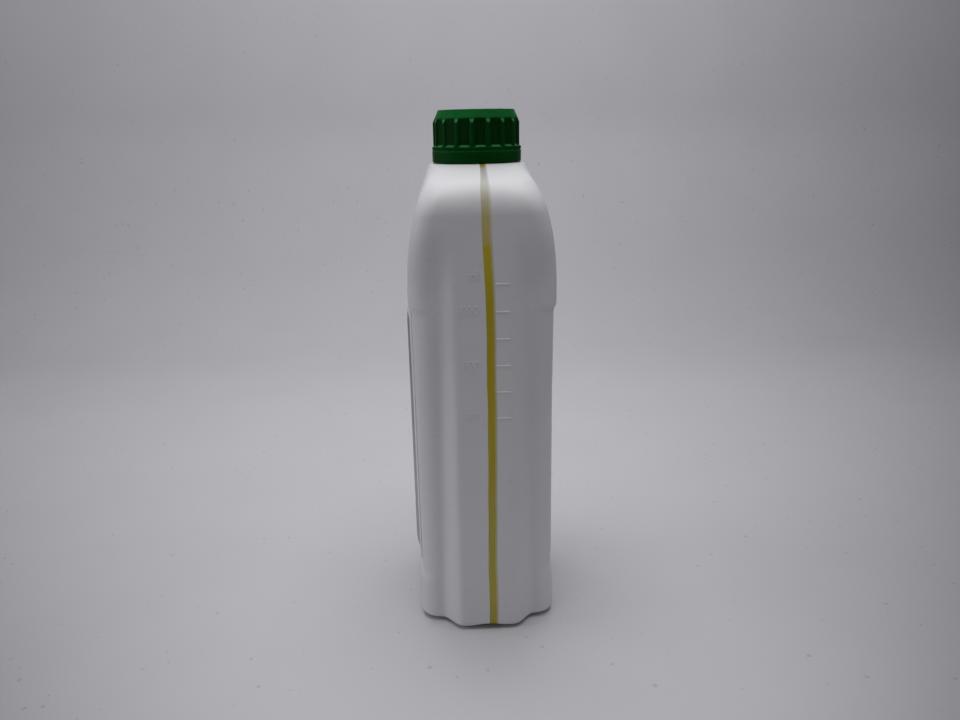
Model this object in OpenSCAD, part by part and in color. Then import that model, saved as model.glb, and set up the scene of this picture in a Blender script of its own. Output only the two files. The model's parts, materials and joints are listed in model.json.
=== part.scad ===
// One-litre antifreeze bottle: a blown bottle with a filled body, a screw cap with a
// tamper band, a sealing disc and two labels.
// Millimetres. The bottle stands on z = 0, its axis is Z, the narrow sides face +X and -X
// and the two label faces +Y and -Y.

/* [Body] */
// Height of the shoulder's top, where the neck begins
shoulder_h = 223.6; // [212:0.2:240]
// Width over the spines of the two narrow sides
body_w = 96; // [90:1:110]
// Depth over the bulge above the labels
body_d = 67.4; // [64:0.1:76]
// Thickness of the blown wall
wall = 1.2; // [0.8:0.1:1.5]
// Thickness of the bottom along its rim
bottom_wall = 2.4; // [2:0.1:3]
// Radius of the rounded corners between narrow and wide sides
corner_round = 9.3; // [7:0.1:11]
// Radius of the shoulder's top around the neck
shoulder_r = 22.6; // [21.6:0.1:24]
// Slope of the shoulder towards the narrow sides, in degrees
shoulder_slope = 23.5; // [20:0.5:38]
// Radius that rounds the shoulder into the narrow sides
shoulder_round = 16; // [13:1:26]

/* [Foot] */
// Radius around the foot
foot_round = 3.2; // [2.8:0.1:4.6]
// How far the middle of the base is pushed up
push_up = 2.6; // [2:0.1:3.4]
// Width of the rim that the bottle stands on
rim_w = 9; // [7:0.5:11]
// Height of the arch under each narrow side
arch_h = 1.5; // [0.6:0.1:1.8]
// Half the width of that arch
arch_half = 9; // [6:0.5:11]

/* [Narrow sides] */
// How far the spine stands out of the corners at the foot
spine_step = 8.7; // [5:0.1:10]
// Half the flat width of the spine
spine_half = 12; // [9:0.5:13]
// Width of the hollow flank beside the spine, at the foot
flank_w = 12.6; // [9:0.1:14]
// How much narrower that flank is at the top
flank_taper = 4; // [0:0.1:5]
// Height of the first mark of the scale
scale_z = 111.6; // [90:0.1:120]
// Distance from one mark of the scale to the next
scale_pitch = 12.45; // [8:0.05:13]
// Number of marks
scale_marks = 6; // [2:1:6]
// Length of a mark
mark_l = 7; // [4:0.5:8]
// Height of a mark
mark_w = 0.8; // [0.6:0.1:1.2]
// How far a mark stands out
mark_out = 0.35; // [0.2:0.05:0.4]
// Distance from the side's middle line to the marks
mark_y = 5; // [4:0.5:6]

/* [Label panels] */
// Height of the foot band below the panels
band_h = 21; // [14:1:23]
// Height at which the sunken panel begins
panel_z = 27; // [25:1:32]
// Height of the sunken panel
panel_h = 132; // [110:1:134]
// Depth of the panel below the bulge above it
panel_recess = 1.3; // [0.6:0.1:2]
// How far the foot band lies inside the bulge
band_set = 0.3; // [0:0.1:1]
// How far the filled bottle's panels swell in the middle
crown = 3.5; // [1:0.1:4]
// Label's width
label_w = 60; // [40:1:60]
// Label's height
label_h = 129; // [80:1:129]
// Label's corner radius
label_round = 8; // [3:0.5:12]
// Label's thickness
label_t = 0.25; // [0.15:0.05:0.4]

/* [Filling] */
// Height of the liquid's surface
fill_h = 191; // [130:1:198]

/* [Neck and cap] */
// Bore radius of the neck
neck_bore = 15.5; // [14:0.1:16]
// Radius of the neck below its thread
neck_r = 17.1; // [16.9:0.1:17.2]
// Height of the neck above the shoulder
neck_h = 20.9; // [20.5:0.1:24]
// Pitch of the thread
thread_pitch = 4.2; // [3.8:0.1:4.4]
// Height of the thread's ridge
thread_depth = 1.2; // [0.9:0.05:1.25]
// Turns of thread on the neck
thread_turns = 1.5; // [1:0.25:1.5]
// Radius over the cap's ribs
cap_r = 20.4; // [20:0.1:20.8]
// Depth of the grooves between the ribs
groove_depth = 0.8; // [0.4:0.1:0.8]
// Number of ribs round the cap
rib_count = 17; // [12:1:24]
// Direction of the first rib, in degrees from +X
rib_turn = -7.7; // [-15:0.1:15]
// Radius of a rib's rounding
rib_r = 1.15; // [0.8:0.05:1.3]
// Radius of the cap's flat top
cap_top_r = 18; // [17.6:0.1:19]
// Height of the cone round the cap's top
cap_cone_h = 5.6; // [4:0.1:7]
// Thickness of the cap's top
cap_top_t = 1.6; // [1.2:0.1:2]
// Thickness of the sealing disc
liner_t = 1.4; // [1:0.1:1.6]
// Radius over the ledge and the tamper band
band_r = 21; // [20.9:0.1:21.4]
// Height of the cap's ledge
ledge_h = 1.6; // [1.4:0.1:2.6]
// Height of the tamper band
tamper_h = 5.3; // [4.8:0.1:5.4]
// Gap between cap and tamper band, spanned by the bridges
bridge_gap = 0.5; // [0.4:0.1:0.6]
// Number of bridges
bridge_count = 9; // [6:1:12]

/* [Hidden] */
$fn = 72;

// Clearances between pieces that meet
fill_gap = 0.3;
label_gap = 0.12;
band_gap = 0.2;
thread_gap = 0.25;
bead_gap = 0.5;
catch_gap = 0.4;
liner_gap = 0.2;

// Heights of the body's zones
bulge_rise = 4;
dome_rise = 5;
panel_top = panel_z + panel_h;
bulge_z = panel_top + bulge_rise;
dome_z = bulge_z + dome_rise;

// How far the panel's swell runs out below, inside and above the panel
crown_low = 13;
crown_in = 5;
crown_out = 11;
crown_over = 4;
crown_fade = 37;

// How far below the shoulder's top the spine and its flanks have run out
spine_end = 25;
flank_end = 36;

// Shoulder: a straight slope that an arc rounds into the narrow side
edge_z = shoulder_h - (body_w / 2 - shoulder_r) * tan(shoulder_slope);
tangent = shoulder_round * tan((90 - shoulder_slope) / 2);
round_z = edge_z - tangent;
slope_z = edge_z + tangent * sin(shoulder_slope);
plate_t = 1.2 * wall;
lip = 1.2;
lip_draw = 1.3;

// Neck
mouth_z = shoulder_h + neck_h;
neck_sink = 1;
hole_r = neck_bore + neck_sink;
mouth_edge = 0.5;

// Cap, from the tamper band up
band_z = shoulder_h + band_gap;
band_top = band_z + tamper_h;
cap_z = band_top + bridge_gap;
ledge_top = cap_z + ledge_h;
cap_top_z = mouth_z + liner_t + cap_top_t;
cone_z = cap_top_z - cap_cone_h;
roof_z = cap_top_z - cap_top_t;
top_edge = 0.4;
top_wall = 0.6;
roof_r = cap_top_r - top_wall;
liner_r = roof_r - liner_gap;
groove_r = cap_r - groove_depth;
floor_low = 0.3;
floor_high = 0.7;
cone_lean = (cap_r - cap_top_r) / (cap_top_z - top_edge - cone_z);
clip_out = 1;

// Bead on the neck, below the thread, and the bores that pass it
bead_out = 1.7;
bead_drop = 0.7;
bead_h = 1.5;
bead_edge = 0.6;
bead_r = neck_r + bead_out;
bead_z = cap_z - bead_drop;
ledge_bore = bead_r + bead_gap;
bore_step = 0.8;
bore_rise = 0.2;

// Catch inside the tamper band, under the bead
catch_r = neck_r + bead_gap;
catch_top = bead_z - 0.6;
catch_h = 0.6;
catch_slope = 1;
band_bore = bead_r + catch_gap;
band_chamfer = [0.5, 0.8];
bridge_r = 0.35;
bridge_in = 0.9;
bridge_sink = 0.3;

// Thread on the neck and in the cap
thread_rise = 2.4;
thread_z = bead_z + bead_h + thread_rise;
thread_foot = 1.05;
thread_crest = 0.5;
thread_sink = 0.4;
thread_steps = 24;
skirt_r = neck_r + thread_depth + thread_gap;

// Label's distance from the panel's lower edge
label_rise = 0.5;

function clamp01(t) = min(max(t, 0), 1);
function smooth(t) = let (c = clamp01(t)) c * c * (3 - 2 * c);
function ramp(z, low, high) = smooth((z - low) / (high - low));

// Outline of the body by height
function dome(z) = clamp01((z - dome_z) / (shoulder_h - dome_z));
function half_width(z) =
    z >= slope_z ? shoulder_r + (shoulder_h - z) / tan(shoulder_slope)
    : z > round_z ? body_w / 2 - shoulder_round + sqrt(pow(shoulder_round, 2) - pow(z - round_z, 2))
    : body_w / 2;
function half_depth(z) =
    let (in_panel = ramp(z, band_h, panel_z), above = ramp(z, panel_top, bulge_z))
    body_d / 2 - band_set * (1 - in_panel) - panel_recess * (in_panel - above)
    - (body_d / 2 - shoulder_r) * pow(dome(z), 2.15);
function roundness(z) = pow(dome(z), 10);
function foot_inset(z) =
    z >= foot_round ? 0 : foot_round - sqrt(pow(foot_round, 2) - pow(foot_round - max(z, 0), 2));
function spine_at(z) =
    spine_step * (1 - 0.2 * ramp(z, 0, 0.5 * shoulder_h) - 0.44 * ramp(z, 0.45 * shoulder_h, bulge_z)
    - 0.36 * ramp(z, dome_z, shoulder_h - spine_end));
function flank_at(z) = flank_w - flank_taper * clamp01(z / (shoulder_h - flank_end));
function crown_at(z) =
    crown * ramp(z, panel_z - crown_low, panel_z + crown_in)
    * (1 - 0.6 * ramp(z, panel_top - crown_out, dome_z + crown_over))
    * (1 - ramp(z, dome_z, dome_z + crown_fade));

// One closed ring of the body at height z, set in by inset from the outer face
front_steps = 6;
flank_steps = 5;
corner_steps = 6;
wide_steps = 10;
spine_share = 0.6;
function front_ys(flat, end) = concat(
    [for (k = [0:flank_steps - 1]) -end + (end - flat) * k / flank_steps],
    [for (k = [0:front_steps - 1]) flat * (2 * k / front_steps - 1)],
    [for (k = [0:flank_steps - 1]) flat + (end - flat) * k / flank_steps]);
function half_ring(a, b, r, step, swell) =
    let (low = a - step, cx = low - r, cy = b - r, flat = min(spine_half, spine_share * cy))
    concat(
        [for (y = front_ys(flat, cy)) [low, y]],
        [for (k = [0:corner_steps - 1]) let (t = 90 * k / corner_steps) [cx + r * cos(t), cy + r * sin(t)]],
        [for (k = [0:wide_steps - 1]) let (x = cx * (1 - 2 * k / wide_steps))
            [x, b + swell * pow(cos(90 * x / cx), 2)]],
        [for (k = [0:corner_steps - 1]) let (t = 90 + 90 * k / corner_steps)
            [r * cos(t) - cx, cy + r * sin(t)]]);
function with_spine(p, step, flank) =
    let (share = 1 - smooth((abs(p.y) - spine_half) / flank))
    [p.x + sign(p.x) * (abs(p.y) < spine_half + flank ? step * share : 0), p.y];
function rounded(p, a, b, share) =
    let (t = atan2(p.y / b, p.x / a)) [p.x + (a * cos(t) - p.x) * share, p.y + (b * sin(t) - p.y) * share];
function ring(z, inset = 0, lift = 0, arch = 0) =
    let (
        a = min(half_width(z) - inset, half_width(z + lift)) - foot_inset(z - lift),
        b = half_depth(z) - inset - foot_inset(z - lift),
        r = max(corner_round - inset, 3),
        step = spine_at(z),
        flank = flank_at(z),
        half = half_ring(a, b, r, step, crown_at(z)))
    [for (side = [1, -1], p = half)
        let (q = rounded(with_spine(p * side, step, flank), a, b, roundness(z)))
        [q.x, q.y, z + arch * (abs(q.y) < arch_half ? pow(cos(90 * q.y / arch_half), 2) : 0)]];
// A ring shrunk towards the middle of the base
function base_ring(z, width, arch = 0) =
    let (outer = ring(0), a = half_width(0) - foot_round, b = half_depth(0) - foot_round)
    [for (p = outer) [p.x * (a - width) / a, p.y * (b - width) / b,
        z + arch * (abs(p.y) < arch_half ? pow(cos(90 * p.y / arch_half), 2) : 0)]];
// A round ring whose points stand in the directions of the shoulder's top ring
function round_ring(z, radius) =
    [for (p = ring(shoulder_h)) let (k = radius / norm([p.x, p.y])) [p.x * k, p.y * k, z]];

// Skins a stack of rings and closes its two ends
module loft(rings) {
    n = len(rings[0]);
    last = len(rings) - 1;
    polyhedron(
        points = [for (level = rings, p = level) p],
        faces = concat(
            [[for (i = [0:n - 1]) i]],
            [for (j = [0:last - 1], i = [0:n - 1]) let (k = (i + 1) % n)
                [j * n + i, (j + 1) * n + i, (j + 1) * n + k]],
            [for (j = [0:last - 1], i = [0:n - 1]) let (k = (i + 1) % n)
                [j * n + i, (j + 1) * n + k, j * n + k]],
            [[for (i = [n - 1:-1:0]) last * n + i]]),
        convexity = 8);
}

// A helical ridge: outward on the neck, inward in the cap
module helix(radius, depth, start_z, turns, start_angle) {
    steps = thread_steps * turns;
    sink = -thread_sink * sign(depth);
    points = [for (k = [0:steps])
        let (
            angle = start_angle + 360 * turns * k / steps,
            z = start_z + thread_pitch * turns * k / steps,
            grow = clamp01(0.15 + min(k, steps - k) / 3),
            crest = radius + depth * grow)
        each [for (c = [[radius + sink, -thread_foot], [crest, -thread_crest], [crest, thread_crest],
                [radius + sink, thread_foot]])
            [c[0] * cos(angle), c[0] * sin(angle), z + c[1]]]];
    order = depth > 0 ? [0, 1, 2, 3] : [3, 2, 1, 0];
    faces = concat(
        [[for (c = [3:-1:0]) order[c]]],
        [for (k = [0:steps - 1], c = [0:3]) let (d = (c + 1) % 4)
            [4 * k + order[c], 4 * k + order[d], 4 * (k + 1) + order[d]]],
        [for (k = [0:steps - 1], c = [0:3]) let (d = (c + 1) % 4)
            [4 * k + order[c], 4 * (k + 1) + order[d], 4 * (k + 1) + order[c]]],
        [[for (c = [0:3]) 4 * steps + order[c]]]);
    polyhedron(points = points, faces = faces, convexity = 6);
}

// How far the inner skin lies above the outer skin's ring
function inner_lift(z) = z > bulge_z ? plate_t : bottom_wall;

// Heights at which the outer and the inner skin have a ring
function outer_zs() = concat(
    [for (t = [0, 30, 60, 90]) foot_round * (1 - cos(t))],
    [for (k = [1:3]) foot_round + (band_h - foot_round) * k / 3],
    [(band_h + panel_z) / 2, panel_z],
    [for (k = [0:7]) panel_z + crown_in + (panel_h - crown_in - crown_out) * k / 7],
    [for (k = [1:3]) panel_top - crown_out + crown_out * k / 3],
    [panel_top + bulge_rise / 2, bulge_z, dome_z],
    [for (k = [1:4]) dome_z + (round_z - dome_z) * k / 4],
    [for (t = [0.2, 0.4, 0.6, 0.8]) round_z + shoulder_round * sin(t * (90 - shoulder_slope))],
    [for (k = [0:3]) slope_z + (shoulder_h - lip - slope_z) * k / 3]);
function inner_zs(floor_z) = concat(
    [for (t = [0, 45, 90]) floor_z + foot_round * (1 - cos(t))],
    [(floor_z + foot_round + band_h) / 2, band_h, panel_z],
    [for (k = [0:6]) panel_z + crown_in + (panel_h - crown_in - crown_out) * k / 6],
    [panel_top, bulge_z],
    [for (k = [0:3]) dome_z + (round_z - dome_z) * k / 4],
    [for (t = [0, 0.3, 0.6]) round_z + shoulder_round * sin(t * (90 - shoulder_slope))],
    [for (k = [0:2]) slope_z - plate_t + (shoulder_h - slope_z) * k / 2]);

module neck() {
    rotate_extrude() polygon([
        [neck_bore, shoulder_h - neck_sink], [neck_r, shoulder_h - neck_sink],
        [neck_r, bead_z], [bead_r, bead_z], [bead_r, bead_z + bead_edge], [neck_r, bead_z + bead_h],
        [neck_r, mouth_z - mouth_edge], [neck_r - mouth_edge, mouth_z], [neck_bore + mouth_edge, mouth_z],
        [neck_bore, mouth_z - mouth_edge]]);
    helix(neck_r, thread_depth, thread_z, thread_turns, -90);
}

module scale() {
    for (k = [0:scale_marks - 1])
        translate([body_w / 2 - mark_w, mark_y, scale_z + scale_pitch * k - mark_w / 2])
            cube([mark_w + mark_out, mark_l, mark_w]);
}

module bottle() {
    inside = inner_zs(bottom_wall);
    color("white") union() {
        loft(concat(
            [base_ring(push_up, rim_w + 4), base_ring(0, rim_w, arch_h)],
            [for (z = outer_zs()) ring(z, arch = z < foot_round ? arch_h * (1 - z / foot_round) : 0)],
            [for (r = [shoulder_r - lip_draw, hole_r]) round_ring(shoulder_h, r)],
            [round_ring(shoulder_h - plate_t, hole_r)],
            [for (k = [len(inside) - 1:-1:0]) ring(inside[k], wall, inner_lift(inside[k]))],
            [base_ring(push_up + bottom_wall, rim_w + 6)]));
        neck();
        scale();
    }
}

module antifreeze() {
    floor_z = bottom_wall + fill_gap;
    wet = [for (z = inner_zs(floor_z)) if (z < fill_h - 1) z];
    color([0.78, 0.74, 0.1]) loft(concat(
        [base_ring(push_up + floor_z, rim_w + 6)],
        [for (z = wet) ring(z, wall + fill_gap, inner_lift(z) + (z < panel_z ? fill_gap : 0))],
        [ring(fill_h, wall + fill_gap, plate_t)]));
}

module screw_cap() {
    color([0.05, 0.3, 0.12]) union() {
        difference() {
            intersection() {
                union() {
                    rotate_extrude() polygon([
                        [0, cap_z], [band_r, cap_z], [band_r, ledge_top - floor_low],
                        [groove_r, ledge_top + floor_high], [groove_r, cap_top_z + clip_out],
                        [0, cap_top_z + clip_out]]);
                    for (k = [0:rib_count - 1]) rotate(rib_turn + k * 360 / rib_count) rib();
                }
                cone_clip();
            }
            rotate_extrude() polygon([
                [0, cap_z - 1], [ledge_bore, cap_z - 1], [ledge_bore, ledge_top - bore_step],
                [skirt_r, ledge_top + bore_rise], [skirt_r, cone_z - top_edge], [roof_r, roof_z],
                [0, roof_z]]);
        }
        helix(skirt_r, -thread_depth, thread_z + thread_pitch / 2, thread_turns, -90);
    }
}

// One upright rib, standing in the grip zone and reaching into the cone above it
module rib() {
    translate([cap_r - rib_r, 0, ledge_top - floor_low])
        cylinder(r = rib_r, h = cap_top_z - top_edge - ledge_top, $fn = 16);
}

// The room under the cap's flat top and its cone, which cuts the ribs' upper ends
module cone_clip() {
    rotate_extrude() polygon([
        [0, cap_z - clip_out], [band_r + clip_out, cap_z - clip_out],
        [band_r + clip_out, cone_z - (band_r + clip_out - cap_r) / cone_lean],
        [cap_top_r, cap_top_z - top_edge], [cap_top_r - top_edge, cap_top_z], [0, cap_top_z]]);
}

module cap_liner() {
    color([0.9, 0.9, 0.86]) translate([0, 0, mouth_z]) cylinder(r = liner_r, h = liner_t);
}

module tamper_band() {
    catch_low = catch_top - catch_h;
    color([0.05, 0.3, 0.12]) union() {
        rotate_extrude() polygon([
            [band_bore, band_z], [band_r - band_chamfer.x, band_z], [band_r, band_z + band_chamfer.y],
            [band_r, band_top], [band_bore, band_top], [band_bore, catch_top + 0.2], [catch_r, catch_top],
            [catch_r, catch_low], [band_bore, catch_low - catch_slope]]);
        for (k = [0:bridge_count - 1]) rotate(k * 360 / bridge_count)
            translate([band_r - bridge_in, 0, band_top - bridge_sink])
                cylinder(r = bridge_r, h = bridge_gap + bridge_sink, $fn = 24);
    }
}

// A label that follows the swollen panel on the side +Y or -Y
module label(side) {
    rows = concat(
        [for (t = [90, 60, 30, 0]) label_round * (1 - sin(t))],
        [for (k = [1:7]) label_round + (label_h - 2 * label_round) * k / 8],
        [for (t = [0, 30, 60, 90]) label_h - label_round * (1 - sin(t))]);
    base_z = panel_z + label_rise;
    columns = 16;
    function reach(v) =
        let (d = max(label_round - v, v - label_h + label_round, 0))
        label_w / 2 - label_round + sqrt(pow(label_round, 2) - d * d);
    function face_y(x, z) =
        let (flat = half_width(z) - spine_at(z) - corner_round)
        half_depth(z) + crown_at(z) * (abs(x) < flat ? pow(cos(90 * x / flat), 2) : 0);
    function strip(v, lift) = [for (k = [0:columns]) let (x = reach(v) * (2 * k / columns - 1))
        [x, side * (face_y(x, base_z + v) + lift), base_z + v]];
    loft([for (v = rows) let (back = strip(v, label_gap), front = strip(v, label_gap + label_t))
        side > 0 ? concat(back, [for (k = [columns:-1:0]) front[k]])
        : concat(front, [for (k = [columns:-1:0]) back[k]])]);
}

module front_label() {
    color([0.2, 0.21, 0.25]) label(-1);
}

module back_label() {
    color([0.2, 0.21, 0.25]) label(1);
}

bottle();
antifreeze();
screw_cap();
cap_liner();
tamper_band();
front_label();
back_label();
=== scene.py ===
# %% [markdown]
# # A one-litre antifreeze bottle
#
# The frame holds the plain solids: a blown bottle, its liquid, a screw cap with a sealing disc, a
# tamper band and two labels. Here each of them gets the shape and the finish that the eye expects.
# All shapes are written in millimetres, as on a drawing, and turned into metres in one place.

# %% Load the frame
import json
import math

import bmesh
import bpy
import numpy as np
from mathutils import Matrix, Vector

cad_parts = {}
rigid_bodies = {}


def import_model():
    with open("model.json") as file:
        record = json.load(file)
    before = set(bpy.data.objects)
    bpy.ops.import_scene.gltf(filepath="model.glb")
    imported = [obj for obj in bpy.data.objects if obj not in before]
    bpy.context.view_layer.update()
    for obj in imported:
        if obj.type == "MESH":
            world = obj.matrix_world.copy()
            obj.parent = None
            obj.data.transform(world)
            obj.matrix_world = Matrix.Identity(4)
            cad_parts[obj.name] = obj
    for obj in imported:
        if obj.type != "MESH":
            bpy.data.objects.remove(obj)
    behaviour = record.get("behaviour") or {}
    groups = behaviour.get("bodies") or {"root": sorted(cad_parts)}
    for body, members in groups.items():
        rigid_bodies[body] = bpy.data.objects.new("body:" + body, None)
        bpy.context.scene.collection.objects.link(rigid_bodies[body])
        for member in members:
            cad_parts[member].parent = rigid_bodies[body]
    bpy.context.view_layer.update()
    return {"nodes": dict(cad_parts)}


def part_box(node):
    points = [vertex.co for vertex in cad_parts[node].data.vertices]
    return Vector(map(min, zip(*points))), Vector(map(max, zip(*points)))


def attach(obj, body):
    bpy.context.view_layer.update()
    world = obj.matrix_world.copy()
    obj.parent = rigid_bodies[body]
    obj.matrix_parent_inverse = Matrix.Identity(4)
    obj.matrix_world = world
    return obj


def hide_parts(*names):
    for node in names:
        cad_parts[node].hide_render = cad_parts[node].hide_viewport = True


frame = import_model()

MM = 0.001


def box_mm(node):
    """Lowest and highest corner of a solid of the frame, in millimetres."""
    low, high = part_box(node)
    return np.array(low) / MM, np.array(high) / MM


for name in frame["nodes"]:
    print(name, [np.round(corner, 1).tolist() for corner in box_mm(name)])

# %% [markdown]
# ## The camera
#
# The camera looks at one narrow side of the bottle from a little above its middle, with a short
# lens close by, so the sides lean in towards the foot. It was found by moving a camera round the
# solids until their outline lay on the outline in the photograph.

# %% Camera
LENS_PX = 785.5      # focal length for an image 960 pixels wide
IMAGE_W = 960
PITCH = math.radians(16.46)
PAN = math.radians(-0.04)
ROLL = math.radians(1.08)
TURN = math.radians(2.21)     # how far the camera stands round from the narrow side
DISTANCE = 385.0
EYE_H = 239.3


def add_camera():
    """A camera at the photograph's place, looking down at the bottle."""
    ahead = Vector((-math.cos(TURN), math.sin(TURN), 0))
    right = Vector((math.sin(TURN), math.cos(TURN), 0))
    ahead, right = (ahead * math.cos(PAN) + right * math.sin(PAN),
                    right * math.cos(PAN) - ahead * math.sin(PAN))
    down = Vector((0, 0, -1))
    look = ahead * math.cos(PITCH) + down * math.sin(PITCH)
    up = ahead * math.sin(PITCH) - down * math.cos(PITCH)
    side = right * math.cos(ROLL) - up * math.sin(ROLL)
    top = up * math.cos(ROLL) + right * math.sin(ROLL)
    data = bpy.data.cameras.new("camera")
    data.sensor_width = 36
    data.lens = LENS_PX / IMAGE_W * data.sensor_width
    data.clip_start = 0.01
    camera = bpy.data.objects.new("camera", data)
    place = Vector((DISTANCE * math.cos(TURN), -DISTANCE * math.sin(TURN), EYE_H)) * MM
    camera.matrix_world = Matrix.Translation(place) @ Matrix((side, top, -look)).transposed().to_4x4()
    bpy.context.scene.collection.objects.link(camera)
    bpy.context.scene.camera = camera
    return camera


camera = add_camera()
print("camera at", [round(v, 3) for v in camera.location], "lens", round(camera.data.lens, 2), "mm")

# %% [markdown]
# ## Helpers for meshes
#
# Most pieces here are stacks of rings: a blown body, a turned neck, a moulded cap. One helper joins
# a stack of rings into faces, and one makes a smooth object of points and faces.

# %% Rings into faces
def join_rings(rings, close_start=True, close_end=True):
    """Points and faces of a skin over rings that all have the same number of points."""
    count = len(rings[0])
    points = np.concatenate([np.asarray(r, float) for r in rings])
    faces = []
    for j in range(len(rings) - 1):
        a, b = j * count, (j + 1) * count
        for i in range(count):
            k = (i + 1) % count
            faces.append((a + i, a + k, b + k, b + i))
    if close_start:
        faces.append(tuple(range(count - 1, -1, -1)))
    if close_end:
        last = (len(rings) - 1) * count
        faces.append(tuple(last + i for i in range(count)))
    return points, faces


def add_piece(name, parts, body, replaces=(), sharp=35):
    """One object of several skins, smooth but for its real edges, riding on a body."""
    points, faces, start = [], [], 0
    for part_points, part_faces in parts:
        points.append(part_points)
        faces += [tuple(start + i for i in face) for face in part_faces]
        start += len(part_points)
    mesh = bpy.data.meshes.new(name)
    mesh.from_pydata((np.concatenate(points) * MM).tolist(), [], faces)
    cleaner = bmesh.new()
    cleaner.from_mesh(mesh)
    bmesh.ops.recalc_face_normals(cleaner, faces=cleaner.faces)
    for edge in cleaner.edges:
        edge.smooth = edge.calc_face_angle(0) < math.radians(sharp)
    for face in cleaner.faces:
        face.smooth = True
    cleaner.to_mesh(mesh)
    cleaner.free()
    piece = bpy.data.objects.new(name, mesh)
    bpy.context.scene.collection.objects.link(piece)
    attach(piece, body)
    if replaces:
        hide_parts(*replaces)
    print(name, len(mesh.vertices), "points")
    return piece


def turned(profile, count, radius_at=None):
    """Rings of a turned form from (radius, height) pairs. radius_at may shape each ring by angle."""
    angles = np.arange(count) * 2 * math.pi / count
    rings = []
    for r, z in profile:
        radii = np.full(count, float(r)) if radius_at is None else radius_at(r, z, angles)
        rings.append(np.stack([radii * np.cos(angles), radii * np.sin(angles), np.full(count, float(z))], 1))
    return rings


print("faces of a test tube of 3 rings:", len(join_rings(turned([(1, 0), (1, 1), (1, 2)], 8))[1]))

# %% [markdown]
# ## The blown bottle: its outline
#
# The bottle is blown from a soft plastic tube inside a two-part mould. Such a wall has no sharp
# corner anywhere: the shoulder is a straight slope that an arc turns into the side, the corners are
# rounded, and the full bottle's broad panels swell a little. The narrow side has a raised flat
# spine with a hollow flank on each side of it, which stiffens the wall and makes a grip.
#
# Each of these is a short function of the height, and one function turns them into a ring.

# %% Sizes of the body
bottle_low, bottle_high = box_mm("bottle")
BODY_W = -2 * bottle_low[0]
MOUTH_Z = bottle_high[2]
NECK_H = 20.9
SHOULDER_H = MOUTH_Z - NECK_H
BODY_D = 67.4
WALL = 1.2
BOTTOM_WALL = 2.4
PLATE_T = 1.2 * WALL
CORNER_ROUND = 9.3
SHOULDER_R = 22.6
SLOPE = math.radians(20.5)
SHOULDER_ROUND = 16
FOOT_ROUND = 3.2
LIP = 1.4            # rounding between shoulder and top

SPINE_STEP = 8.7
SPINE_HALF = 12
SPINE_SHARE = 0.6
SPINE_END = SHOULDER_H - 25
FLANK_W = 12.6
FLANK_TAPER = 4
FLANK_END = SHOULDER_H - 36
FLANK_SOFT = 0.6     # how far the flank's hollow reaches under the spine's edge

BAND_H = 21
PANEL_Z = 27
PANEL_TOP = PANEL_Z + 132
BULGE_Z = PANEL_TOP + 4
DOME_Z = BULGE_Z + 5
DOME_POWER = 2.15
OVAL_POWER = 10      # the ring turns oval only close under the neck
PANEL_RECESS = 1.3
BAND_SET = 0.3
CROWN = 3.5
CROWN_FROM, CROWN_FULL = PANEL_Z - 13, PANEL_Z + 5
CROWN_EASE, CROWN_LESS, CROWN_END = PANEL_TOP - 11, DOME_Z + 4, DOME_Z + 37

PUSH_UP = 2.6
RIM_W = 9
ARCH_H = 1.8
ARCH_HALF = 9
EDGE_LIFT = 1.2      # the outer edge clears the floor, a ring just inside it carries the bottle

EDGE_Z = SHOULDER_H - (BODY_W / 2 - SHOULDER_R) * math.tan(SLOPE)
TANGENT = SHOULDER_ROUND * math.tan((math.pi / 2 - SLOPE) / 2)
ROUND_Z = EDGE_Z - TANGENT
SLOPE_Z = EDGE_Z + TANGENT * math.sin(SLOPE)
print("shoulder from", round(ROUND_Z, 1), "to", round(SHOULDER_H, 1), "mm, mouth at", round(MOUTH_Z, 1))


# %% Outline by height
def clamp01(t):
    return min(max(t, 0.0), 1.0)


def smooth(t):
    t = np.clip(t, 0, 1)
    return t * t * (3 - 2 * t)


def softer(t):
    """Like smooth, but with no kink in its bend at either end."""
    t = np.clip(t, 0, 1)
    return t ** 3 * (t * (6 * t - 15) + 10)


def ramp(z, low, high):
    """Rises from 0 at the low height to 1 at the high one."""
    return float(smooth((z - low) / (high - low)))


def dome(z):
    """0 up to where the shoulder starts to narrow, 1 at its top."""
    return clamp01((z - DOME_Z) / (SHOULDER_H - DOME_Z))


def half_width(z):
    if z >= SLOPE_Z:
        return SHOULDER_R + (SHOULDER_H - z) / math.tan(SLOPE)
    if z > ROUND_Z:
        return BODY_W / 2 - SHOULDER_ROUND + math.sqrt(SHOULDER_ROUND ** 2 - (z - ROUND_Z) ** 2)
    return BODY_W / 2


def half_depth(z):
    in_panel, above = ramp(z, BAND_H, PANEL_Z), ramp(z, PANEL_TOP, BULGE_Z)
    return (BODY_D / 2 - BAND_SET * (1 - in_panel) - PANEL_RECESS * (in_panel - above)
            - (BODY_D / 2 - SHOULDER_R) * dome(z) ** DOME_POWER)


def foot_inset(z):
    if z >= FOOT_ROUND:
        return 0.0
    return FOOT_ROUND - math.sqrt(FOOT_ROUND ** 2 - (FOOT_ROUND - max(z, 0)) ** 2)


def spine_at(z):
    """How far the spine stands out: it fades in three stages, whose shares add up to 1."""
    return SPINE_STEP * (1 - 0.2 * ramp(z, 0, 0.5 * SHOULDER_H) - 0.44 * ramp(z, 0.45 * SHOULDER_H, BULGE_Z)
                         - 0.36 * ramp(z, DOME_Z, SPINE_END))


def flank_at(z):
    return FLANK_W - FLANK_TAPER * clamp01(z / FLANK_END)


def crown_at(z):
    """The swell of the broad panels by height."""
    return (CROWN * ramp(z, CROWN_FROM, CROWN_FULL) * (1 - 0.6 * ramp(z, CROWN_EASE, CROWN_LESS))
            * (1 - ramp(z, DOME_Z, CROWN_END)))


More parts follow.
